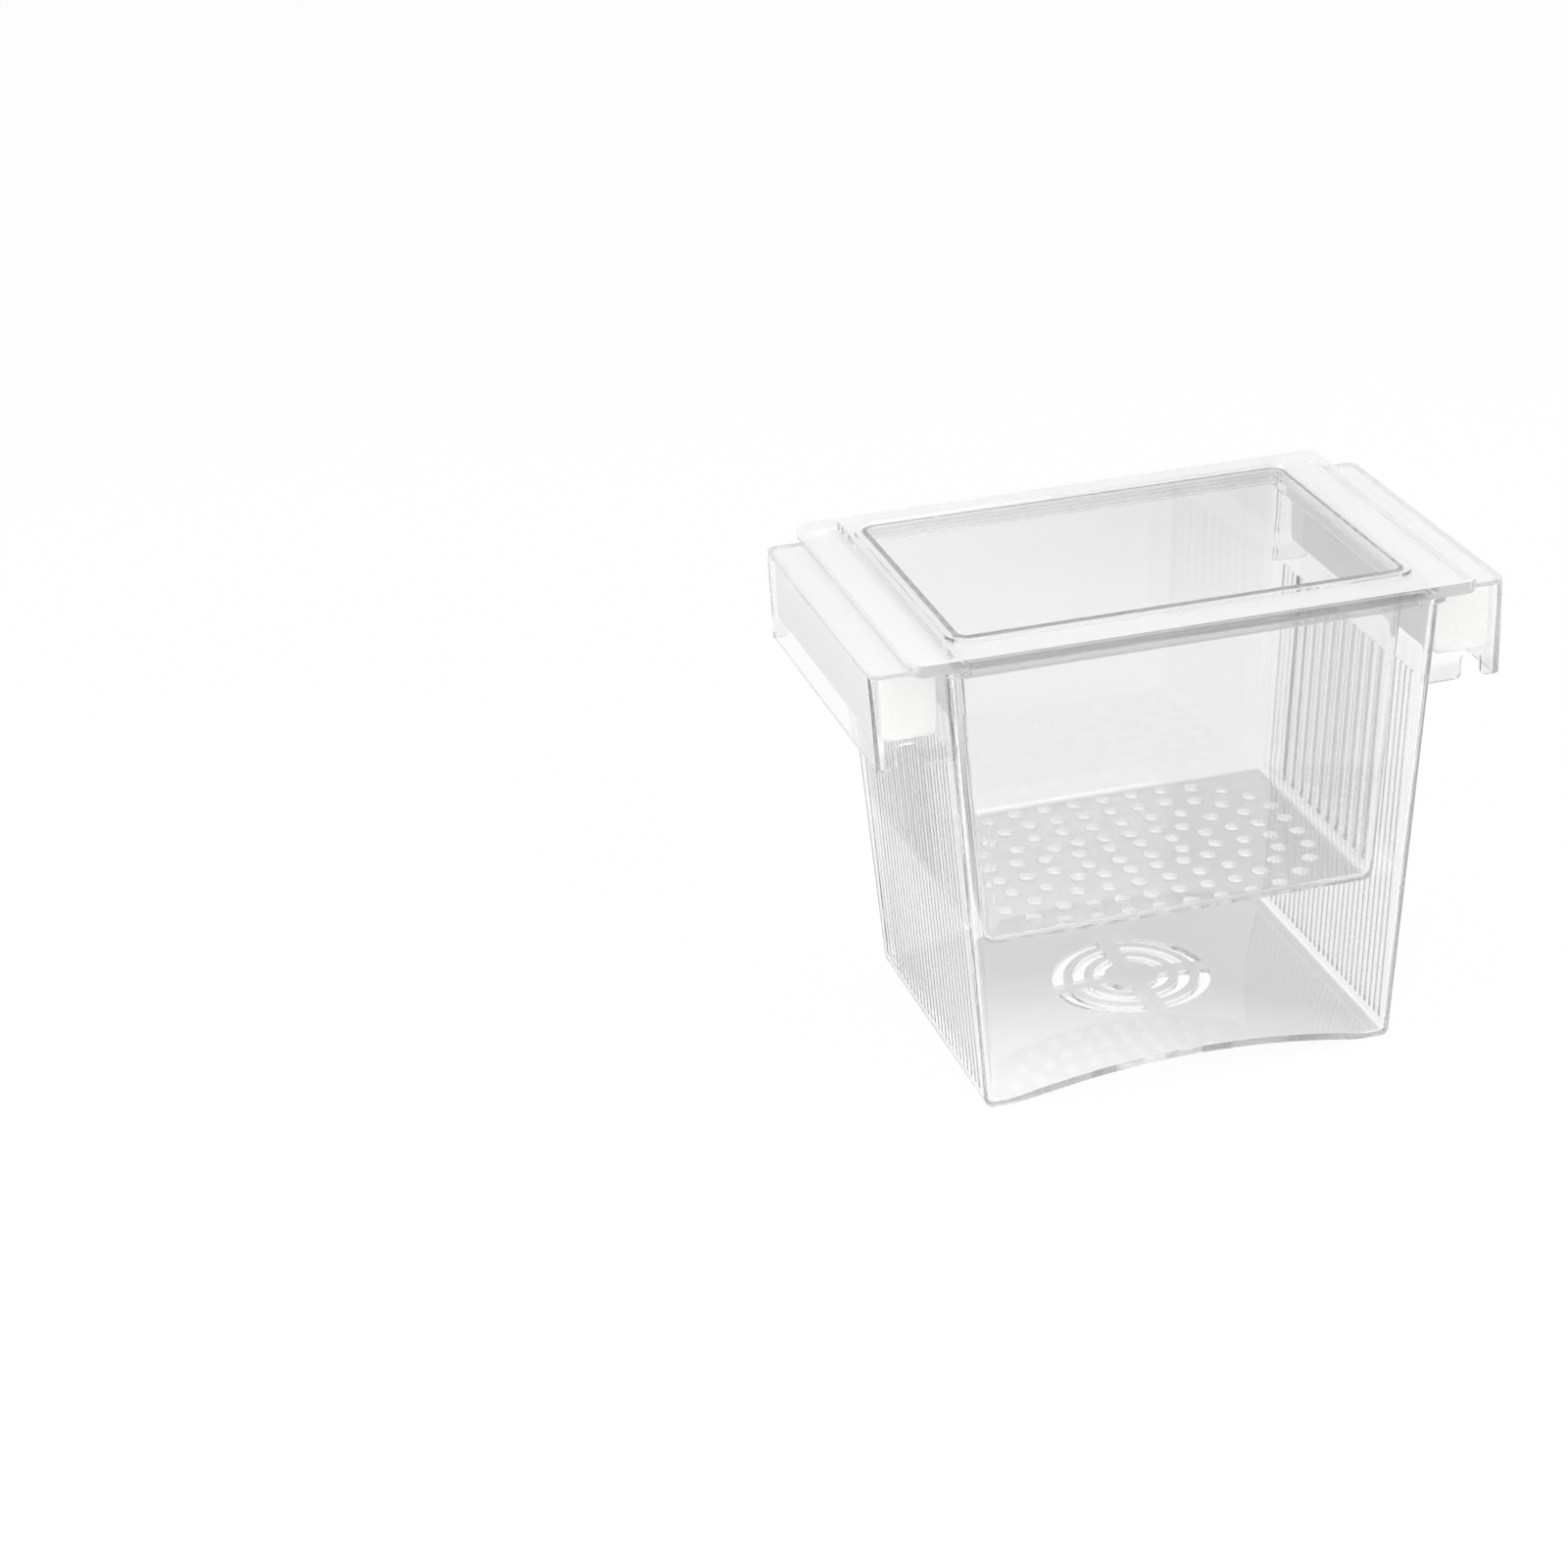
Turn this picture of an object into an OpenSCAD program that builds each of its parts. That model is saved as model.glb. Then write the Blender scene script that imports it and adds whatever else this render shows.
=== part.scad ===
// Floating fish breeding box: a tapered tank with slotted ends and two float wings, a top frame
// laid over its mouth, a perforated basket hung in the frame, and a foam float in each wing.
// X runs from wing to wing, Y from front to back. The origin is the middle of the foot.

/* [Tank] */
// Length of the tank at its foot, along X
tank_foot_w = 113; // [105:1:118]
// Width of the tank at its foot, along Y
tank_foot_d = 91; // [87:1:96]
// Length of the tank at its mouth
tank_mouth_w = 130; // [128:1:134]
// Width of the tank at its mouth
tank_mouth_d = 102; // [100:1:106]
// Height of the tank from its foot to its mouth
tank_h = 127; // [115:1:145]
// Thickness of the tank's walls
tank_wall = 1.6; // [1.2:0.1:2]
// Thickness of the tank's floor
tank_floor = 1.5; // [1.2:0.1:2.2]
// Radius of the tank's upright corners
tank_corner_r = 3; // [2.5:0.5:5]
// Radius between the tank's walls and its foot
tank_edge_r = 2.5; // [1.5:0.5:2.5]
// Rise of the arch under the floor
arch_rise = 6; // [3:0.5:9]
// Width of the flat foot left under each end
foot_w = 2.5; // [1.5:0.5:4]
// How far the rim stands out round the mouth
rim_reach = 1.5; // [1:0.1:2]

/* [Water slots in the tank's ends] */
// Width of one slot
tank_slot_w = 1.3; // [1:0.1:1.6]
// Distance from slot to slot
tank_slot_pitch = 3.05; // [2.8:0.05:4]
// Plain wall left beside the slots at the foot, front and back
tank_slot_margin = 4; // [4:0.5:14]
// Height at which the slots start
tank_slot_low = 4; // [4:0.5:12]
// Plain band left above the slots
tank_slot_band = 24; // [22:0.5:45]

/* [Grille in the tank's floor] */
// Diameter of the grille
grille_d = 43; // [30:1:60]
// Number of rings of slots
grille_rings = 3; // [2:1:3]
// Width of one ring of slots
grille_slot = 3.1; // [2:0.1:3.5]
// Width of the solid ring between two rings of slots
grille_rib = 2.5; // [2:0.1:3]
// Width of the bars that cross the grille
grille_bar = 4.5; // [3:0.5:6]

/* [Float wings] */
// How far each wing stands out from the tank's mouth
wing_w = 19; // [18:0.5:24]
// How far a wing's front and back stay behind the tank's front and back
wing_setback = 4; // [3.5:0.5:8]
// Depth of the skirt round each wing
skirt_h = 25.5; // [23:0.5:32]
// Thickness of the wing's top and of its skirt
wing_wall = 1.5; // [1.2:0.1:1.8]
// How much the skirt leans in from top to bottom
skirt_draft = 0.9; // [0:0.1:1]
// Radius of the wing's upright corners
wing_corner_r = 2.5; // [2:0.5:4]
// Width of the notch for the neck of a suction cup
notch_w = 5.6; // [4.5:0.1:7]
// Height of the notch
notch_h = 6.3; // [4.5:0.1:7]
// Distance from the wing's outer edge to the middle of the notch
notch_inset = 8.8; // [8.5:0.1:11]
// Radius of the notch's top and of the corners beside it
notch_r = 1.5; // [0.5:0.1:2]

/* [Foam floats] */
// Height of a float
float_h = 17.6; // [12:0.1:19]
// Radius of a float's long edges
float_r = 2.8; // [1:0.1:5]
// Clearance between a float and the wing's walls and deck
float_gap = 0.3; // [0.2:0.05:0.5]
// Clearance at each end of a float
float_end_gap = 2; // [0.5:0.1:6]

/* [Top frame] */
// How far the frame reaches past the tank's mouth at each end
frame_reach = 9.5; // [9:0.5:12]
// Height from the tank's rim to the basket's rim, which the frame fills
frame_h = 3.2; // [3:0.1:5]
// Clearance under the frame where it rests on the tank, and under the basket's rim
seat_gap = 0.05; // [0.02:0.01:0.2]
// Radius of the frame's corners
frame_corner_r = 4; // [3:0.5:8]
// Thickness of the lip round the frame and of the walls under its collar
frame_wall = 1.4; // [1:0.1:1.6]
// Thickness of the floor of the finger pockets
pocket_floor = 1; // [0.8:0.1:1.4]
// Thickness of the collar's top
collar_t = 1.2; // [1:0.1:1.6]
// Depth to which the frame's skirt reaches into the tank
locator_h = 3; // [2:0.5:5]
// Clearance between the frame's skirt and the tank's walls
locator_gap = 0.35; // [0.3:0.05:0.6]

/* [Basket] */
// Distance from the tank's mouth to the basket's mouth at each end
basket_end_room = 5.2; // [5.2:0.1:6.5]
// Distance from the tank's mouth to the basket's mouth at the front and back
basket_side_room = 9.5; // [8.5:0.5:11]
// How far each end of the basket leans in from mouth to floor
basket_end_lean = 5.8; // [4.8:0.1:9]
// How far the basket's front and back each lean in from mouth to floor
basket_side_lean = 3; // [1.5:0.1:5]
// Depth of the basket under its rim
basket_depth = 86.7; // [70:0.1:95]
// Thickness of the basket's walls and floor
basket_wall = 1.4; // [1.2:0.1:1.8]
// Radius of the basket's upright corners
basket_corner_r = 4; // [3:0.5:6]
// Radius between the basket's walls and floor
basket_edge_r = 3; // [2.5:0.5:3]
// How far the basket's rim stands out from its mouth
basket_rim = 2; // [1.5:0.1:2.5]
// Thickness of the basket's rim
basket_rim_t = 1; // [0.8:0.1:1.6]
// Clearance between the basket and the opening that it hangs in
basket_gap = 0.7; // [0.5:0.1:1]

/* [Slots and holes in the basket] */
// Width of one slot
basket_slot_w = 2.4; // [1.5:0.1:3]
// Distance from slot to slot
basket_slot_pitch = 5.85; // [4:0.05:8]
// Distance from the basket's front to the middle of the first slot
basket_slot_inset = 6.5; // [6:0.5:12]
// Plain wall left behind the last slot
basket_slot_plain = 17; // [6:0.5:30]
// Height of the slots' lower ends above the basket's floor
basket_slot_low = 3; // [3:0.5:8]
// Plain band left between the slots and the rim
basket_slot_band = 23.3; // [16:0.1:40]
// Diameter of the holes in the floor
hole_d = 4.4; // [3:0.1:5]
// Distance from hole to hole along a ring
hole_pitch = 8.3; // [7:0.1:12]
// Distance from ring to ring
hole_ring_pitch = 7.6; // [6.5:0.1:9]
// Distance from the floor's ends to the outermost ring of holes
hole_end_margin = 8; // [8:0.5:20]
// Distance from the floor's front and back to the outermost ring of holes
hole_side_margin = 5.5; // [5.5:0.5:12]
// Corner radius of the outermost ring of holes
hole_field_r = 25; // [15:1:28]
// How much the corner radius shrinks for each ring further in
hole_ring_turn = 5.3; // [4:0.1:7.6]

/* [Hidden] */
$fn = 48;
past = 1;                       // how far a cutter runs past the face that it cuts
sliver = 0.01;                  // height of the discs that a tapered block is spanned between
inner_round = 1;                // how much smaller a moulding's radii are on its inside
clear_plastic = [0.86, 0.9, 0.92, 0.45];
white_foam = "white";

// The tank leans outwards from the top of its edge radius to its mouth.
lean_h = tank_h - tank_edge_r;
lean_x = (tank_mouth_w - tank_foot_w) / 2 / lean_h;
lean_y = (tank_mouth_d - tank_foot_d) / 2 / lean_h;
function tank_half_w(z) = tank_foot_w / 2 + lean_x * (z - tank_edge_r);
arch_half = tank_foot_w / 2 - tank_edge_r - foot_w;
arch_r = (arch_half * arch_half + arch_rise * arch_rise) / (2 * arch_rise);
tank_slot_high = tank_h - tank_slot_band;
tank_slot_middle = (tank_slot_low + tank_slot_high) / 2;
tank_slot_field = tank_foot_d - 2 * tank_slot_margin;
tank_slots = floor(tank_slot_field / tank_slot_pitch);

// The wings are troughs that open downwards, level with the mouth.
wing_span = tank_mouth_w + 2 * wing_w;
wing_d = tank_mouth_d - 2 * wing_setback;
deck_low = tank_h - wing_wall;
skirt_low = tank_h - skirt_h;
skirt_lean = skirt_draft / skirt_h;
wing_inner = tank_half_w(skirt_low) - tank_wall;
notch_x = wing_span / 2 - notch_inset;

// A float fills its wing, from the tank's end to the skirt, just under the deck.
float_top = deck_low - float_gap;
float_low = float_top - float_h;
float_inner = tank_half_w(float_top) + rim_reach / 2 + float_gap;
float_outer = wing_span / 2 - skirt_lean * (tank_h - float_low) - wing_wall - float_gap;
float_w = float_outer - float_inner;
float_d = wing_d - 2 * (wing_wall + float_end_gap);

// The frame sits on the rim and the decks, and its skirt reaches into the mouth.
frame_w = tank_mouth_w + 2 * frame_reach;
frame_d = tank_mouth_d + 2 * rim_reach;
frame_low = tank_h + seat_gap;
frame_top = tank_h + frame_h - seat_gap;
pocket_low = frame_low + pocket_floor;
locator_low = tank_h - locator_h;
locator_w = 2 * (tank_half_w(locator_low) - tank_wall - locator_gap);
locator_d = tank_mouth_d - 2 * lean_y * locator_h - 2 * (tank_wall + locator_gap);
pocket_w = (frame_w - locator_w) / 2 - frame_wall;
pocket_r = 2 * frame_wall;

// The basket hangs by its rim on the frame's top.
basket_mouth_w = tank_mouth_w - 2 * basket_end_room;
basket_mouth_d = tank_mouth_d - 2 * basket_side_room;
basket_foot_w = basket_mouth_w - 2 * basket_end_lean;
basket_foot_d = basket_mouth_d - 2 * basket_side_lean;
basket_mouth = tank_h + frame_h;
basket_low = basket_mouth - basket_depth;
basket_floor = basket_low + basket_wall;
basket_lean_x = basket_end_lean / (basket_depth - basket_edge_r);
opening_w = basket_mouth_w + 2 * basket_gap;
opening_d = basket_mouth_d + 2 * basket_gap;
opening_r = basket_corner_r + basket_gap;
basket_slot_field = basket_foot_d - basket_slot_inset - basket_slot_plain;
basket_slots = floor(basket_slot_field / basket_slot_pitch) + 1;
hole_field_w = basket_foot_w - 2 * hole_end_margin;
hole_field_d = basket_foot_d - 2 * hole_side_margin;
hole_rings = floor(min(hole_field_w, hole_field_d) / 2 / hole_ring_pitch) + 1;

// A plate with round upright corners, from height low to height high.
module round_plate(w, d, r, low, high) {
    translate([0, 0, low]) linear_extrude(high - low) {
        square([w - 2 * r, d], center = true);
        square([w, d - 2 * r], center = true);
        for (x = [-1, 1], y = [-1, 1]) translate([x * (w / 2 - r), y * (d / 2 - r)]) circle(r);
    }
}

// A tub-shaped block: round edges of radius edge_r at its foot, upright corners of radius
// corner_r at its mouth, and straight leaning sides between them.
module tub(foot, mouth, low, high, edge_r, corner_r) {
    hull() for (x = [-1, 1], y = [-1, 1]) {
        translate([x * (foot.x / 2 - edge_r), y * (foot.y / 2 - edge_r), low + edge_r])
            sphere(edge_r, $fn = 32);
        translate([x * (mouth.x / 2 - corner_r), y * (mouth.y / 2 - corner_r), high - sliver])
            cylinder(h = sliver, r = corner_r, $fn = 32);
    }
}

// Upright cutters for a row of slots through an end wall that leans outwards along +X.
module slot_row(count, pitch, width, wall_x, lean, low, high, reach) {
    middle = (low + high) / 2;
    for (i = [0 : count - 1])
        translate([wall_x, i * pitch, middle]) rotate([0, atan(lean), 0])
            cube([reach, width, high - low], center = true);
}

// ---- Outer box: tank, rim and float wings in one moulding ----

module tank_block() {
    tub([tank_foot_w, tank_foot_d], [tank_mouth_w, tank_mouth_d], 0, tank_h, tank_edge_r,
        tank_corner_r);
}

// The arch under the floor, grown by a thickness for the floor's upper side.
module arch(grow) {
    translate([0, 0, arch_rise - arch_r]) rotate([90, 0, 0])
        cylinder(h = 2 * tank_mouth_d, r = arch_r + grow, center = true, $fn = 240);
}

module tank_cavity() {
    both = 2 * tank_wall;
    difference() {
        tub([tank_foot_w - both, tank_foot_d - both],
            [tank_mouth_w - both + 2 * lean_x * past, tank_mouth_d - both + 2 * lean_y * past],
            tank_floor, tank_h + past, tank_edge_r - inner_round, tank_corner_r - inner_round);
        arch(tank_floor);
    }
}

module tank_end_slots() {
    for (side = [0, 1]) mirror([side, 0, 0])
        translate([0, -(tank_slots - 1) * tank_slot_pitch / 2, 0])
            slot_row(tank_slots, tank_slot_pitch, tank_slot_w,
                tank_half_w(tank_slot_middle) - tank_wall / 2, lean_x, tank_slot_low,
                tank_slot_high, 3 * tank_wall);
}

// Rings of slots that two crossing bars divide into quarters.
module grille_cut() {
    linear_extrude(2 * arch_rise + tank_floor) difference() {
        for (i = [0 : grille_rings - 1]) {
            outer = grille_d / 2 - i * (grille_slot + grille_rib);
            difference() {
                circle(outer, $fn = 96);
                circle(outer - grille_slot, $fn = 96);
            }
        }
        square([grille_d + past, grille_bar], center = true);
        square([grille_bar, grille_d + past], center = true);
    }
}

// Section of a wing across Y: a drafted outer side, and an inner side within the tank's end.
module wing_section(inset, high) {
    edge = wing_span / 2 - inset;
    low = skirt_low - (inset > 0 ? past : 0);
    polygon([[wing_inner, low], [edge - skirt_lean * (tank_h - low), low],
        [edge - skirt_lean * (tank_h - high), high], [wing_inner, high]]);
}

module wing_block(inset, high) {
    intersection() {
        rotate([90, 0, 0]) linear_extrude(wing_d, center = true) wing_section(inset, high);
        round_plate(wing_span - 2 * inset, wing_d - 2 * inset, wing_corner_r - inset / 2,
            skirt_low - past, tank_h);
    }
}

// Outline of the notch, with a round top and flared corners at the skirt's lower edge.
module notch_outline() {
    translate([-notch_w / 2, -past]) square([notch_w, notch_h + past - notch_r]);
    translate([notch_r - notch_w / 2, 0]) square([notch_w - 2 * notch_r, notch_h]);
    for (x = [-1, 1]) {
        translate([x * (notch_w / 2 - notch_r), notch_h - notch_r]) circle(notch_r);
        difference() {
            translate([x * notch_w / 2 - notch_r, -past]) square([2 * notch_r, past + notch_r]);
            translate([x * (notch_w / 2 + notch_r), notch_r]) circle(notch_r);
        }
    }
}

module notches() {
    for (x = [-1, 1]) translate([x * notch_x, 0, skirt_low])
        rotate([90, 0, 0]) linear_extrude(wing_d + past, center = true) notch_outline();
}

module outer_box() {
    color(clear_plastic) difference() {
        union() {
            tank_block();
            round_plate(tank_mouth_w + 2 * rim_reach, frame_d, frame_corner_r, deck_low, tank_h);
            for (side = [0, 1]) mirror([side, 0, 0]) wing_block(0, tank_h);
        }
        difference() {
            for (side = [0, 1]) mirror([side, 0, 0]) wing_block(wing_wall, deck_low);
            tank_block();
        }
        tank_cavity();
        arch(0);
        tank_end_slots();
        grille_cut();
        notches();
    }
}

// ---- Foam floats ----

module float_block() {
    translate([(float_inner + float_outer) / 2, 0, (float_low + float_top) / 2])
        rotate([90, 0, 0])
        linear_extrude(float_d, center = true) {
            square([float_w - 2 * float_r, float_h], center = true);
            square([float_w, float_h - 2 * float_r], center = true);
            for (x = [-1, 1], y = [-1, 1])
                translate([x * (float_w / 2 - float_r), y * (float_h / 2 - float_r)])
                    circle(float_r);
        }
}

module float_right() {
    color(white_foam) float_block();
}

module float_left() {
    color(white_foam) mirror([1, 0, 0]) float_block();
}

// ---- Top frame ----

// The finger pockets at both ends, between the collar and the lip.
module finger_pockets() {
    for (x = [-1, 1]) translate([x * (locator_w + pocket_w) / 2, 0, 0])
        round_plate(pocket_w, frame_d - 2 * frame_wall, pocket_r, pocket_low, frame_top + past);
}

// The hollow under the collar, in front of and behind the opening.
module collar_hollow() {
    run = locator_w - 2 * pocket_r;
    inner = opening_d / 2 + frame_wall;
    skirt_inner = locator_d / 2 - frame_wall;
    lip_inner = frame_d / 2 - frame_wall;
    high = frame_top - collar_t;
    for (y = [-1, 1]) {
        translate([-run / 2, y > 0 ? inner : -skirt_inner, frame_low - past])
            cube([run, skirt_inner - inner, high - frame_low + past]);
        translate([-run / 2, y > 0 ? locator_d / 2 : -lip_inner, frame_low - past])
            cube([run, lip_inner - locator_d / 2, high - frame_low + past]);
    }
}

// The skirt that keeps the frame in the tank's mouth.
module locator() {
    difference() {
        round_plate(locator_w, locator_d, tank_corner_r, locator_low, pocket_low);
        round_plate(opening_w, locator_d - 2 * frame_wall, tank_corner_r - inner_round,
            locator_low - past, pocket_low + past);
    }
}

module top_frame() {
    color(clear_plastic) difference() {
        union() {
            difference() {
                round_plate(frame_w, frame_d, frame_corner_r, frame_low, frame_top);
                finger_pockets();
                collar_hollow();
            }
            locator();
        }
        round_plate(opening_w, opening_d, opening_r, locator_low - past, frame_top + past);
    }
}

// ---- Inner basket ----

module basket_block(inset, low, high) {
    grow = 2 * basket_lean_x * (high - basket_mouth);
    tub([basket_foot_w - 2 * inset, basket_foot_d - 2 * inset],
        [basket_mouth_w - 2 * inset + grow, basket_mouth_d - 2 * inset],
        low, high, basket_edge_r - inset / 2, basket_corner_r - inset);
}

module basket_end_slots() {
    low = basket_floor + basket_slot_low;
    high = basket_mouth - basket_slot_band;
    wall_x = basket_foot_w / 2 + basket_lean_x * ((low + high) / 2 - basket_low - basket_edge_r);
    for (side = [0, 1]) mirror([side, 0, 0])
        translate([0, basket_slot_inset - basket_foot_d / 2, 0])
            slot_row(basket_slots, basket_slot_pitch, basket_slot_w, wall_x - basket_wall / 2,
                basket_lean_x, low, high, 4 * basket_wall);
}

// The first quarter of a rounded rectangle: the point at distance s from the middle of its
// +X side towards the middle of its +Y side.
function quarter_point(s, w, d, r) =
    let (side = d / 2 - r, bend = PI * r / 2, turn = (s - side) / r * 180 / PI)
    s < side ? [w / 2, s]
    : s < side + bend ? [w / 2 - r + r * cos(turn), side + r * sin(turn)]
    : [w / 2 - r - (s - side - bend), d / 2];

// Holes at even distances along a rounded rectangle, placed by quarters.
module hole_ring(w, d, r) {
    quarter = (w + d) / 2 - 2 * r + PI * r / 2;
    steps = max(1, round(quarter / hole_pitch));
    for (i = [0 : steps - 1], x = [-1, 1], y = [-1, 1]) {
        point = quarter_point((i + 0.5) * quarter / steps, w, d, r);
        translate([x * point.x, y * point.y]) circle(d = hole_d);
    }
}

// Rings of holes one inside the other. The innermost is the narrowest that two rows still fit.
module floor_holes() {
    translate([0, 0, basket_low - past]) linear_extrude(basket_wall + 2 * past)
        for (i = [0 : hole_rings - 1]) {
            w = hole_field_w - 2 * i * hole_ring_pitch;
            d = max(hole_ring_pitch, hole_field_d - 2 * i * hole_ring_pitch);
            hole_ring(w, d, min(d / 2, max(hole_d / 2, hole_field_r - i * hole_ring_turn)));
        }
}

module inner_basket() {
    color(clear_plastic) difference() {
        union() {
            basket_block(0, basket_low, basket_mouth);
            round_plate(basket_mouth_w + 2 * basket_rim, basket_mouth_d + 2 * basket_rim,
                basket_corner_r + basket_rim, basket_mouth, basket_mouth + basket_rim_t);
        }
        basket_block(basket_wall, basket_floor, basket_mouth + basket_rim_t + past);
        basket_end_slots();
        floor_holes();
    }
}

outer_box();
top_frame();
inner_basket();
float_left();
float_right();
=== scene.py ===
import math
from types import SimpleNamespace

import bpy
from mathutils import Matrix, Vector


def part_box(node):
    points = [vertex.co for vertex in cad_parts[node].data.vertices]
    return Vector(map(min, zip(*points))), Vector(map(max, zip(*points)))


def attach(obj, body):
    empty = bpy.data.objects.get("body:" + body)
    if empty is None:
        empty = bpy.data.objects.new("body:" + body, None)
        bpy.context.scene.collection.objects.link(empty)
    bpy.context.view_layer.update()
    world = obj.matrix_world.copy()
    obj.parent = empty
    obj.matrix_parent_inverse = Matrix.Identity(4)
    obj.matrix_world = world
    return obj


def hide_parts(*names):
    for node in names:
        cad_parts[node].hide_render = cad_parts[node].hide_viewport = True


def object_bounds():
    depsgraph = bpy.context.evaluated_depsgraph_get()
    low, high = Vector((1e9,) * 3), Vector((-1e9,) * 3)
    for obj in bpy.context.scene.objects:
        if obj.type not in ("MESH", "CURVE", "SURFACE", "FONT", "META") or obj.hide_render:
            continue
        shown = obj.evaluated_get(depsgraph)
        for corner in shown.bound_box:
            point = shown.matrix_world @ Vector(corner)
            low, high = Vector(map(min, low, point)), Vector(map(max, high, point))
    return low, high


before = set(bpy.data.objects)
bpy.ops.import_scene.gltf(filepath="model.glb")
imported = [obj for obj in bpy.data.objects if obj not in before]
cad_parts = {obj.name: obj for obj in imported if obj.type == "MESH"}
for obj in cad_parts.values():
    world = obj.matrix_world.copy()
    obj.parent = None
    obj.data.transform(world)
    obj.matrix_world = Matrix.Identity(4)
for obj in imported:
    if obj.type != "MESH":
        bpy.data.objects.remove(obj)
cad_low, cad_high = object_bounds()
scene = bpy.context.scene
MM = 0.001


# ---- Materials -------------------------------------------------------------------------------

PRODUCT, PRODUCT_AND_SUM = {"operation": "MULTIPLY"}, {"operation": "MULTIPLY_ADD"}
CLAMPED_SUM, LARGER = {"operation": "ADD", "use_clamp": True}, {"operation": "MAXIMUM"}
UNSIGNED = {"operation": "ABSOLUTE"}
COLOUR = {"data_type": "RGBA"}


def linear(hex_colour):
    """A linear RGBA colour from an sRGB hex value."""
    shares = [int(hex_colour[i:i + 2], 16) / 255 for i in (1, 3, 5)]
    return (*[c / 12.92 if c <= 0.04045 else ((c + 0.055) / 1.055) ** 2.4 for c in shares], 1)


def add(nodes, kind, settings=None, *values, **named):
    """Adds a node. Settings are its own. Values fill the sockets in use in their order, and named
    ones fill the sockets of that name. A value is a plain one, a socket to link from, or a node
    whose first output in use is linked."""
    made = nodes.new(kind)
    for name, value in (settings or {}).items():
        setattr(made, name, value)
    filled = list(zip([socket for socket in made.inputs if socket.enabled], values))
    filled += [(made.inputs[name.replace("_", " ")], value) for name, value in named.items()]
    for socket, value in filled:
        if isinstance(value, bpy.types.Node):
            value = next(output for output in value.outputs if output.enabled)
        if isinstance(value, bpy.types.NodeSocket):
            nodes.id_data.links.new(value, socket)
        else:
            socket.default_value = value
    return made


def new_material(name):
    made = bpy.data.materials.new(name)
    made.use_nodes = True
    made.node_tree.nodes.clear()
    return made, made.node_tree.nodes


# Pairs say where a share is 0 and where it is 1. Facings are how far a normal points that way.
LEVEL_FACING = 0.8, 0.95
FLOOR_EDGE = MM                        # the floors' finish fades out over this, up and down
SHADE_SLANT = 0.6                       # painted shade deepens to the back, and this much to the right
FLOOR_SHADOW_DEEPENS = -65 * MM, 0              # along that slant, over which the floors' painted shadow darkens
BACK_SHADE_STARTS = -12 * MM, 73 * MM       # along that slant, where the painted shade on the back starts
BACK_SHADE_RISES = 85 * MM, 120 * MM        # height
# painted shade on the upright faces along the front
FRONT_SHADE_FACING, FRONT_SHADE_STARTS = (0.5, 0.9), (-36 * MM, -40 * MM)
# the sides of the slots are painted grey as shade
SLOT_SHADE_FACING, SLOT_SHADE_EDGE = (0.9, 0.95), 0.2 * MM
BORE_FACING, BORE_EDGE = (0.4, 0.3), 0.1 * MM

MILKY_WHITE = "#fcfcfc"
WALL_CLEARNESS, FLOOR_CLEARNESS, BORE_CLEARNESS = 0.975, 0.94, 0.1
WALL_ROUGHNESS, FLOOR_ROUGHNESS, HANDLING_ROUGHNESS = 0.015, 0.03, 0.02
HANDLING_SIZE = 2.5 * MM               # smears and fine scratches
RIPPLE_HEIGHT, RIPPLE_SHARE = 0.4 * MM, 0.02
POLYSTYRENE_IOR = 1.59
DEPTH_TINT, DEPTH_DENSITY = "#c4c8c8", 8.0


def read_moulding(nodes, floor_below):
    """What a moulding's finish goes by: the place, how the face looks whichever its side, how
    far towards the back right it lies, where painted shade deepens, and to what share it is low,
    level and floor."""
    coordinates = add(nodes, "ShaderNodeTexCoord").outputs
    place = coordinates["Object"]
    facing = add(nodes, "ShaderNodeVectorMath", UNSIGNED, coordinates["Normal"])
    facing = add(nodes, "ShaderNodeSeparateXYZ", {}, facing).outputs
    at = add(nodes, "ShaderNodeSeparateXYZ", {}, place).outputs
    low = add(nodes, "ShaderNodeMapRange", {}, at["Z"], floor_below + FLOOR_EDGE,
              floor_below - FLOOR_EDGE)
    level = add(nodes, "ShaderNodeMapRange", {}, facing["Z"], *LEVEL_FACING)
    floor = add(nodes, "ShaderNodeMath", PRODUCT, level, low)
    flow = add(nodes, "ShaderNodeMath", PRODUCT_AND_SUM, at["X"], SHADE_SLANT, at["Y"])
    return SimpleNamespace(place=place, facing=facing, x=at["X"], y=at["Y"], z=at["Z"],
                           low=low, level=level, floor=floor, flow=flow)


# painted shade on the upper part of the back wall, darker towards its right
def back_shade_share(nodes, here):
    along = add(nodes, "ShaderNodeMapRange", {}, here.flow, *BACK_SHADE_STARTS)
    risen = add(nodes, "ShaderNodeMapRange", {}, here.z, *BACK_SHADE_RISES)
    back_shaded = add(nodes, "ShaderNodeMath", PRODUCT, along, risen)
    return add(nodes, "ShaderNodeMath", PRODUCT, back_shaded, here.facing["Y"])


# painted shade on the upright faces along the front
def front_shade_share(nodes, here):
    upright = add(nodes, "ShaderNodeMapRange", {}, here.facing["Y"], *FRONT_SHADE_FACING)
    forward = add(nodes, "ShaderNodeMapRange", {}, here.y, *FRONT_SHADE_STARTS)
    return add(nodes, "ShaderNodeMath", PRODUCT, upright, forward)


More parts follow.
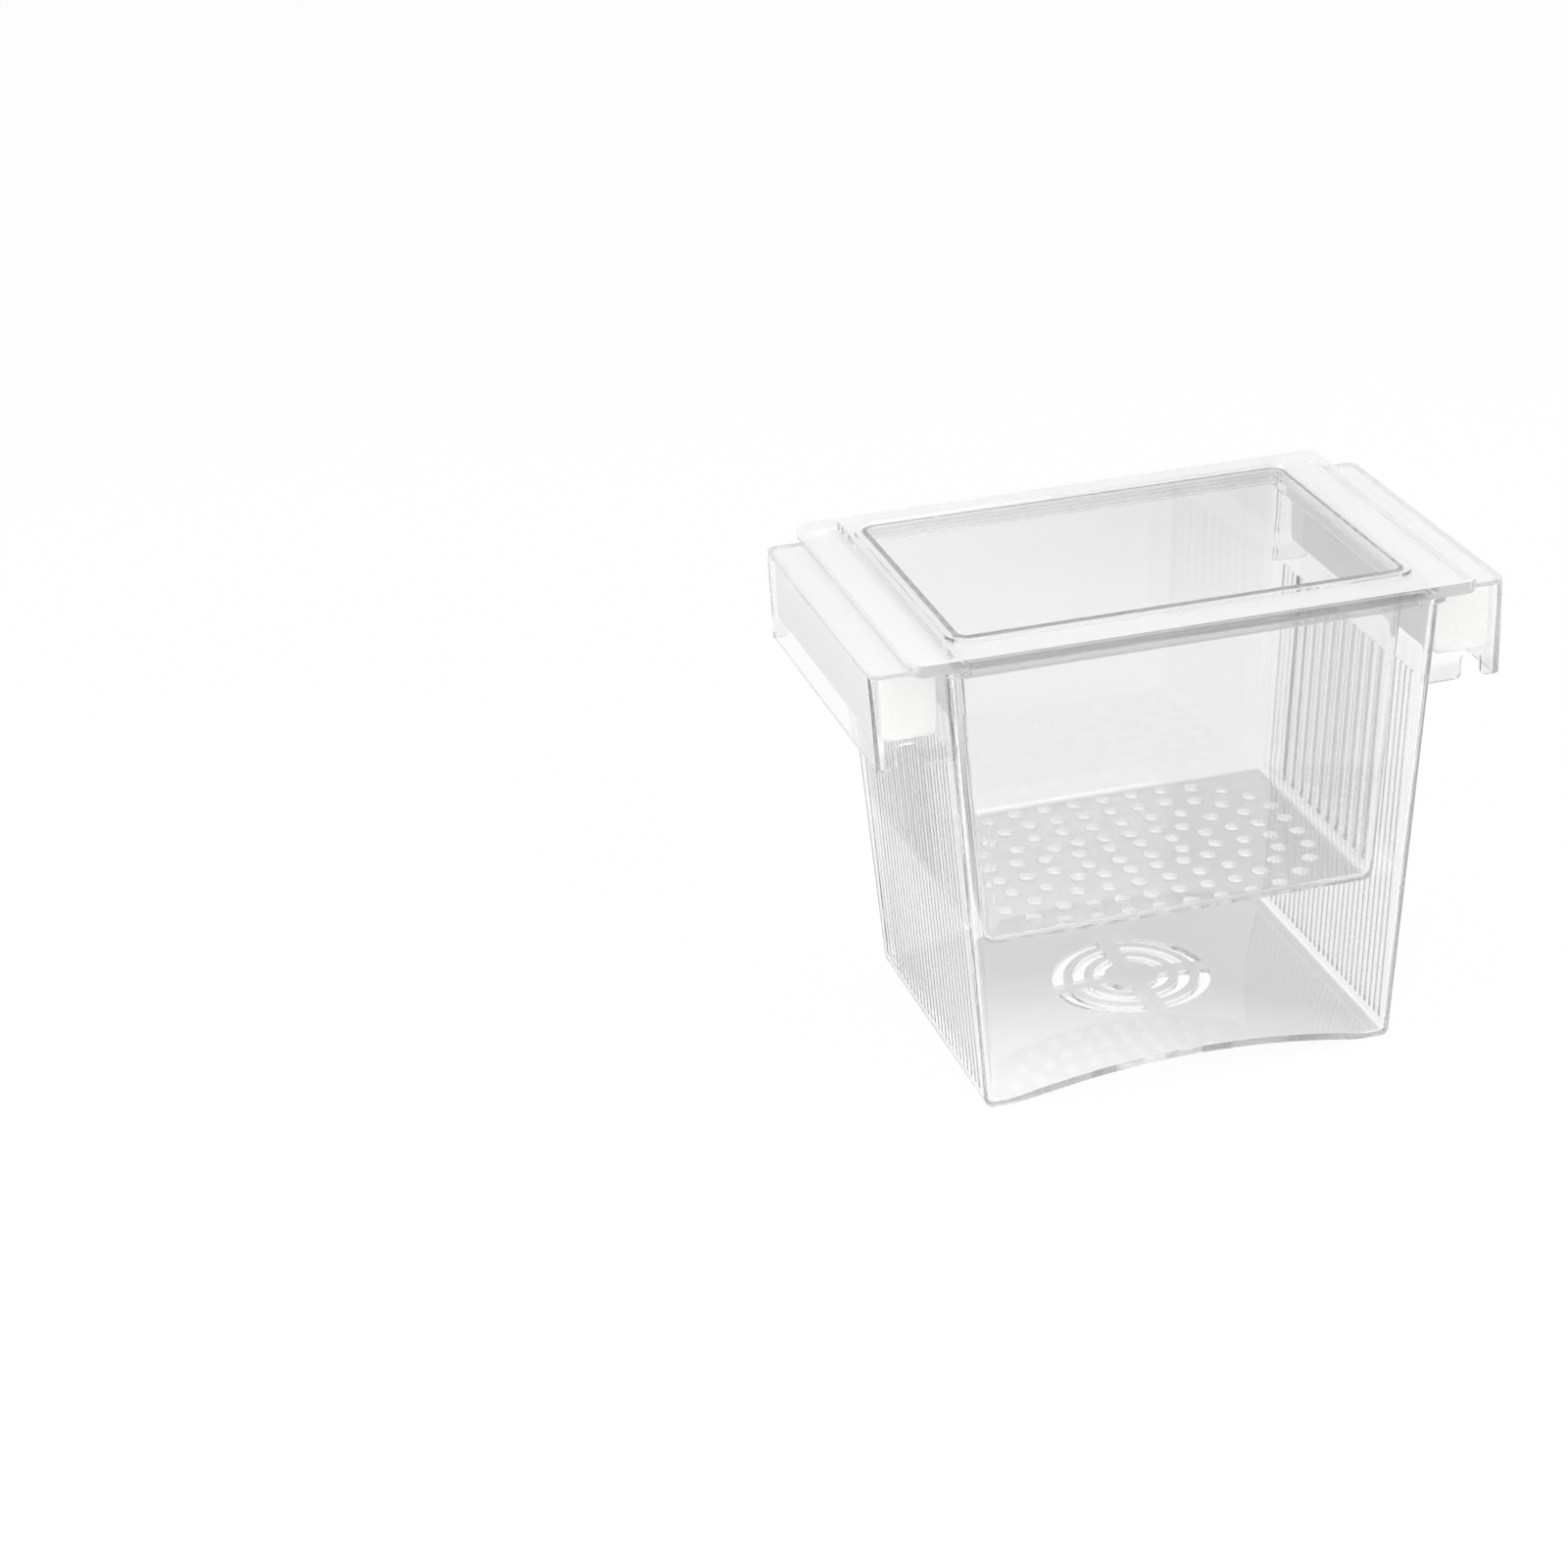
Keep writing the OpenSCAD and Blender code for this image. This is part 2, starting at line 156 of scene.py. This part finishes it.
def slot_shade_share(nodes, here, half_apart, lean):
    """The sides of the slots in both end walls, whose inner faces lean outwards: where the slots'
    painted shade goes.
    """
    aside = add(nodes, "ShaderNodeMath", UNSIGNED, here.x)
    outward = add(nodes, "ShaderNodeMath", PRODUCT_AND_SUM, here.z, -lean, aside)
    in_wall = add(nodes, "ShaderNodeMapRange", {}, outward, half_apart, half_apart + SLOT_SHADE_EDGE)
    sides = add(nodes, "ShaderNodeMapRange", {}, here.facing["Y"], *SLOT_SHADE_FACING)
    sides = add(nodes, "ShaderNodeMath", PRODUCT, in_wall, sides)
    return add(nodes, "ShaderNodeMath", PRODUCT, sides, here.low)


def bore_share(nodes, here, bored_below):
    low = add(nodes, "ShaderNodeMapRange", {}, here.z, bored_below + BORE_EDGE, bored_below)
    upright = add(nodes, "ShaderNodeMapRange", {}, here.facing["Z"], *BORE_FACING)
    return add(nodes, "ShaderNodeMath", PRODUCT, low, upright)


def clear_polystyrene(name, walls, ripple, top_clearness, floor_below=0,
                      floor_shadow_tints=(MILKY_WHITE, MILKY_WHITE), back_shade=None, front=None,
                      end_wall=None, slots=None, bored_below=0):
    """General-purpose polystyrene, injection moulded: glass clear, with the faint ripple of the
    flowing melt and a fine haze that greys its edges. Level faces lower than floor_below are
    grained by the mould, and the floor tints paint the part's shadow on the table into a floor,
    as painted shadow that is darkest at its back right. Higher up, level faces are whiter and
    milkier, as top_clearness says. The sides of the slots in an end_wall, whose inner face
    stands (half apart, lean) from the middle, are painted grey as shade, and those of the holes
    lower than bored_below are left matt by the mould's pins, and catch the light. Painted shade
    greys the upper part of the back, most at its right, and painted shade greys the upright faces
    along the front."""
    made, nodes = new_material(name)
    here = read_moulding(nodes, floor_below)

    tint = linear(walls)
    # painted shade on the upper part of the back
    if back_shade:
        tint = add(nodes, "ShaderNodeMix", COLOUR, back_shade_share(nodes, here), tint, linear(back_shade))
    # painted shade along the front
    if front:
        tint = add(nodes, "ShaderNodeMix", COLOUR, front_shade_share(nodes, here), tint, linear(front))
    # the sides of the slots painted grey as shade
    if end_wall:
        tint = add(nodes, "ShaderNodeMix", COLOUR, slot_shade_share(nodes, here, *end_wall), tint,
                   linear(slots))
    tint = add(nodes, "ShaderNodeMix", COLOUR, here.level, tint, linear(MILKY_WHITE))
    # painted shadow: the part's shadow on the table, painted into the floor, darker towards the
    # back right
    along = add(nodes, "ShaderNodeMapRange", {}, here.flow, *FLOOR_SHADOW_DEEPENS)
    grey = add(nodes, "ShaderNodeMix", COLOUR, along, *map(linear, floor_shadow_tints))
    tint = add(nodes, "ShaderNodeMix", COLOUR, here.floor, tint, grey)

    clearness = add(nodes, "ShaderNodeMix", {}, here.level, WALL_CLEARNESS, top_clearness)
    clearness = add(nodes, "ShaderNodeMix", {}, here.floor, clearness, FLOOR_CLEARNESS)
    if bored_below:
        clearness = add(nodes, "ShaderNodeMix", {}, bore_share(nodes, here, bored_below),
                        clearness, BORE_CLEARNESS)

    handled = add(nodes, "ShaderNodeTexNoise", Vector=here.place, Scale=1 / HANDLING_SIZE,
                  Detail=4.0, Roughness=0.6)
    polish = add(nodes, "ShaderNodeMix", {}, here.floor, WALL_ROUGHNESS, FLOOR_ROUGHNESS)
    rough = add(nodes, "ShaderNodeMath", PRODUCT_AND_SUM, handled, HANDLING_ROUGHNESS, polish)
    rippled = add(nodes, "ShaderNodeTexNoise", Vector=here.place, Scale=1 / ripple, Detail=2.0,
                  Roughness=0.45)
    bump = add(nodes, "ShaderNodeBump", Strength=RIPPLE_SHARE, Distance=RIPPLE_HEIGHT,
               Height=rippled)

    clear = add(nodes, "ShaderNodeBsdfPrincipled", Base_Color=tint, Roughness=rough,
                IOR=POLYSTYRENE_IOR, Transmission_Weight=clearness, Normal=bump)
    # lamps reach the foam and the floors through the clear walls
    lit_through = add(nodes, "ShaderNodeBsdfTransparent", Color=linear(MILKY_WHITE))
    shadow_ray = add(nodes, "ShaderNodeLightPath").outputs["Is Shadow Ray"]
    surface = add(nodes, "ShaderNodeMixShader", {}, shadow_ray, clear, lit_through)
    depth = add(nodes, "ShaderNodeVolumeAbsorption", Color=linear(DEPTH_TINT),
                Density=DEPTH_DENSITY)
    add(nodes, "ShaderNodeOutputMaterial", Surface=surface, Volume=depth)
    return made


FOAM_CELL = 0.9 * MM                   # cells are about 0.7 mm, drawn larger so that they show
FOAM_DIMPLE, DIMPLE_SHARE = 0.25 * MM, 0.35
FOAM_PATCH = 6 * MM
FOAM_GLOW = 2 * MM                     # how far light gets in
FOAM_ROUGHNESS = 0.72, 0.9


def cut_foam():
    """White closed-cell polyethylene foam, cut from a plank: matt, softly lit from within, with
    the dimples of its burst cells and faintly uneven in its white."""
    made, nodes = new_material("polyethylene_foam_cut")
    place = add(nodes, "ShaderNodeTexCoord").outputs["Object"]
    cells = add(nodes, "ShaderNodeTexVoronoi", {"feature": "SMOOTH_F1"}, Vector=place,
                Scale=1 / FOAM_CELL, Smoothness=0.35)
    patches = add(nodes, "ShaderNodeTexNoise", Vector=place, Scale=1 / FOAM_PATCH, Detail=3.0,
                  Roughness=0.55)
    white = add(nodes, "ShaderNodeMix", COLOUR, patches, linear("#f2f2f0"), linear("#f7f7f6"))
    rough = add(nodes, "ShaderNodeMapRange", {}, patches, 0, 1, *FOAM_ROUGHNESS)
    bump = add(nodes, "ShaderNodeBump", Strength=DIMPLE_SHARE, Distance=FOAM_DIMPLE,
               Height=cells)
    foam = add(nodes, "ShaderNodeBsdfPrincipled", Base_Color=white, Roughness=rough, IOR=1.4,
               Subsurface_Weight=0.25, Subsurface_Radius=(1, 1, 1), Subsurface_Scale=FOAM_GLOW,
               Sheen_Weight=0.08, Normal=bump)
    add(nodes, "ShaderNodeOutputMaterial", Surface=foam)
    return made


def pale_table(white_share, share_through_plastic):
    """A plain white table. What isn't plain white in it keeps the part's shadow, which shows
    more through the clear floors than beside the part."""
    made, nodes = new_material("matt_white_table")
    path = add(nodes, "ShaderNodeLightPath").outputs
    open_view = add(nodes, "ShaderNodeMath", CLAMPED_SUM, path["Is Camera Ray"],
                    path["Is Glossy Ray"])
    open_view = add(nodes, "ShaderNodeMath", PRODUCT, open_view, white_share)
    share = add(nodes, "ShaderNodeMath", PRODUCT_AND_SUM, path["Is Transmission Ray"],
                share_through_plastic, open_view)
    matt = add(nodes, "ShaderNodeBsdfDiffuse", Color=linear("#ffffff"))
    white = add(nodes, "ShaderNodeEmission", Color=linear("#ffffff"), Strength=1.0)
    surface = add(nodes, "ShaderNodeMixShader", {}, share, matt, white)
    add(nodes, "ShaderNodeOutputMaterial", Surface=surface)
    return made


def dress(piece, material):
    piece.data.materials.clear()
    piece.data.materials.append(material)


# an end wall is given by how far its inner face is from the middle at the foot's level, and by
# how much further for each unit of height
dress(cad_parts["outer_box"], clear_polystyrene(
    "polystyrene_moulded_tank", walls="#fcfcfc", ripple=22 * MM, top_clearness=0.5,
    # the floor tints are painted shadow, darker towards the back right
    floor_below=106 * MM, floor_shadow_tints=("#fcfcfc", "#cccccc"),
    # the slot tint is painted shade on the sides of the slots
    end_wall=(54.75 * MM, 0.0683), slots="#eeeeee"))
# the frame's front tint is painted shade
dress(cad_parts["top_frame"], clear_polystyrene(
    "polystyrene_moulded_frame", walls="#f8f8f8", ripple=14 * MM, top_clearness=0.42,
    front="#d4d4d4"))
# the basket's back tint is painted shade, most at its upper right
dress(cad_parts["inner_basket"], clear_polystyrene(
    "polystyrene_moulded_basket", walls="#fafafa", ripple=18 * MM, top_clearness=0.9,
    floor_below=108 * MM, floor_shadow_tints=("#e2e2e2", "#cccccc"), back_shade="#e9e9e9",
    # the slot tint is painted shade on the sides of the slots
    end_wall=(49.4 * MM, 0.0693), slots="#d2d2d2", bored_below=44.9 * MM))
FOAM = cut_foam()


# ---- Foam floats -----------------------------------------------------------------------------

LONG_EDGE = 2.0 * MM, 8    # the plank's edges, rounded over: radius and segments
CUT_EDGE = 0.7 * MM, 3     # the sawn ends, barely broken
SKIN_GRID = 0.8 * MM       # mesh spacing, fine enough for the skin's undulation
SKIN_WAVE = 12 * MM        # length of the skin's undulation
SKIN_SAG = 0.18 * MM       # how far the skin sinks, at most
ALONG = 0.9                # an edge that points this much along the plank is a long one
END_REACH = 0.1 * MM       # an edge this near an end belongs to it


def select_only(piece):
    bpy.ops.object.select_all(action="DESELECT")
    piece.select_set(True)
    bpy.context.view_layer.objects.active = piece


def bevel_edges(piece, chosen, radius, segments):
    """Rounds the edges that chosen(edge direction, edge middle) picks."""
    select_only(piece)
    bpy.ops.object.mode_set(mode="EDIT")
    bpy.ops.mesh.select_all(action="DESELECT")
    bpy.ops.mesh.select_mode(type="EDGE")
    bpy.ops.object.mode_set(mode="OBJECT")
    points = piece.data.vertices
    for edge in piece.data.edges:
        a, b = (points[i].co for i in edge.vertices)
        edge.select = chosen((b - a).normalized(), (a + b) / 2)
    bpy.ops.object.mode_set(mode="EDIT")
    bpy.ops.mesh.bevel(offset=radius, offset_type="OFFSET", segments=segments, profile=0.5,
                       affect="EDGES", clamp_overlap=True)
    bpy.ops.object.mode_set(mode="OBJECT")


def sink_skin(piece):
    """Lets the skin undulate inwards, on a mesh that is fine and even enough for it."""
    remesh = piece.modifiers.new("even_grid", "REMESH")
    remesh.mode, remesh.voxel_size = "VOXEL", SKIN_GRID
    wave = bpy.data.textures.new("foam_skin_wave", "CLOUDS")
    wave.noise_scale, wave.noise_depth = SKIN_WAVE, 1
    sag = piece.modifiers.new("sunk_skin", "DISPLACE")
    sag.texture, sag.strength, sag.mid_level = wave, SKIN_SAG, 1.0
    select_only(piece)
    for modifier in ("even_grid", "sunk_skin"):
        bpy.ops.object.modifier_apply(modifier=modifier)
    bpy.ops.object.shade_smooth()


def foam_float(name, node):
    """A bar of foam in its solid's own place: rounded along its length, sawn at its ends."""
    low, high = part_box(node)
    middle, size = (low + high) / 2, high - low
    bpy.ops.object.select_all(action="DESELECT")
    bpy.ops.mesh.primitive_cube_add(size=1, location=middle, scale=size)
    piece = bpy.context.active_object
    piece.name = piece.data.name = name
    bpy.ops.object.transform_apply(location=True, rotation=True, scale=True)
    end = size.y / 2 - END_REACH
    bevel_edges(piece, lambda way, at: abs(way.y) > ALONG, *LONG_EDGE)
    bevel_edges(piece, lambda way, at: abs(at.y - middle.y) > end, *CUT_EDGE)
    sink_skin(piece)
    dress(piece, FOAM)
    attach(piece, "tank")
    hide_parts(node)


for side in ("left", "right"):
    foam_float(f"foam_{side}", f"float_{side}")


# ---- Table, light and camera -----------------------------------------------------------------

TABLE_SIZE, TABLE_GAP = 6, 0.2 * MM    # the gap keeps its face off the part's feet
LIGHT = 0.8                            # the studio's plain level
DIMMEST = 0.5                          # what a reflection or a clear edge finds of it, at least
OVERHEAD, BEHIND_CAMERA = (0.2, 0.8), (-0.2, -0.9)
LIT_POINT = Vector((0, 0, 70 * MM))

bpy.ops.object.select_all(action="DESELECT")
bpy.ops.mesh.primitive_plane_add(size=TABLE_SIZE, location=(0, 0, cad_low.z - TABLE_GAP))
table = bpy.context.active_object
table.name = "table"
dress(table, pale_table(white_share=0.88, share_through_plastic=0.4))

world = bpy.data.worlds.new("studio")
world.use_nodes = True
scene.world = world
nodes = world.node_tree.nodes
nodes.clear()
path = add(nodes, "ShaderNodeLightPath").outputs
# gloss and clear plastic find white beyond and below the part, and a dimmer studio above it
# and behind the camera, which greys their edges, but no foam or table gets less than LIGHT for
# the plastic in front of it
direction = add(nodes, "ShaderNodeTexCoord").outputs["Generated"]
direction = add(nodes, "ShaderNodeSeparateXYZ", {}, direction).outputs
overhead = add(nodes, "ShaderNodeMapRange", {}, direction["Z"], *OVERHEAD)
behind = add(nodes, "ShaderNodeMapRange", {}, direction["Y"], *BEHIND_CAMERA)
dimmer = add(nodes, "ShaderNodeMath", LARGER, overhead, behind)
lowest = add(nodes, "ShaderNodeMapRange", {}, path["Diffuse Depth"], 0, 1, DIMMEST, LIGHT)
studio = add(nodes, "ShaderNodeMapRange", {}, dimmer, 0, 1, 1, lowest)
through = add(nodes, "ShaderNodeMath", CLAMPED_SUM, path["Is Glossy Ray"],
              path["Is Transmission Ray"])
found = add(nodes, "ShaderNodeMix", {}, through, LIGHT, studio)
strength = add(nodes, "ShaderNodeMix", {}, path["Is Camera Ray"], found, 1)
backdrop = add(nodes, "ShaderNodeBackground", Color=linear("#ffffff"), Strength=strength)
add(nodes, "ShaderNodeOutputWorld", Surface=backdrop)


def softbox(name, at, across, watts):
    light = bpy.data.lights.new(name, "AREA")
    light.shape, light.size, light.energy = "DISK", across, watts
    lamp = bpy.data.objects.new(name, light)
    scene.collection.objects.link(lamp)
    lamp.location = at
    lamp.rotation_mode = "QUATERNION"
    lamp.rotation_quaternion = (LIT_POINT - Vector(at)).to_track_quat("-Z", "Y")


softbox("key_softbox", at=(0.3, -1.0, 0.9), across=0.7, watts=5.5)
softbox("fill_softbox", at=(-0.9, -0.4, 0.7), across=0.6, watts=2.2)

AZIMUTH, ELEVATION, ROLL = math.radians(-14.634), math.radians(24.786), math.radians(-2.939)
DISTANCE, ASIDE, ABOVE = 973.38 * MM, 91.414 * MM, 0.876 * MM
FOCAL_SHARE = 3744.22 / 1600           # focal length over the view's width
SENSOR_WIDTH = 36                      # millimetres, as the camera takes it
NEAREST, FARTHEST = 0.05, 20           # what the camera sees
AIM = Vector((0, 0, 65 * MM))

back = Vector((math.sin(AZIMUTH) * math.cos(ELEVATION), -math.cos(AZIMUTH) * math.cos(ELEVATION),
               math.sin(ELEVATION)))
level = Vector((math.cos(AZIMUTH), math.sin(AZIMUTH), 0))
upward = back.cross(level)
right = level * math.cos(ROLL) + upward * math.sin(ROLL)
up = upward * math.cos(ROLL) - level * math.sin(ROLL)
camera = bpy.data.objects.new("camera", bpy.data.cameras.new("camera"))
scene.collection.objects.link(camera)
camera.data.sensor_width = SENSOR_WIDTH
camera.data.lens = FOCAL_SHARE * SENSOR_WIDTH
camera.data.clip_start, camera.data.clip_end = NEAREST, FARTHEST
stand = AIM + back * DISTANCE - right * ASIDE - up * ABOVE
camera.matrix_world = Matrix((
    (right.x, up.x, back.x, stand.x),
    (right.y, up.y, back.y, stand.y),
    (right.z, up.z, back.z, stand.z),
    (0, 0, 0, 1)))
scene.camera = camera

# a ray crosses many clear walls, and meets each at both its faces
CLEAR_WALL_BOUNCES, SHADOW_FACES = 48, 32
scene.view_settings.view_transform = "Standard"
scene.cycles.max_bounces = CLEAR_WALL_BOUNCES
scene.cycles.transmission_bounces = CLEAR_WALL_BOUNCES
scene.cycles.glossy_bounces = CLEAR_WALL_BOUNCES
scene.cycles.transparent_max_bounces = SHADOW_FACES
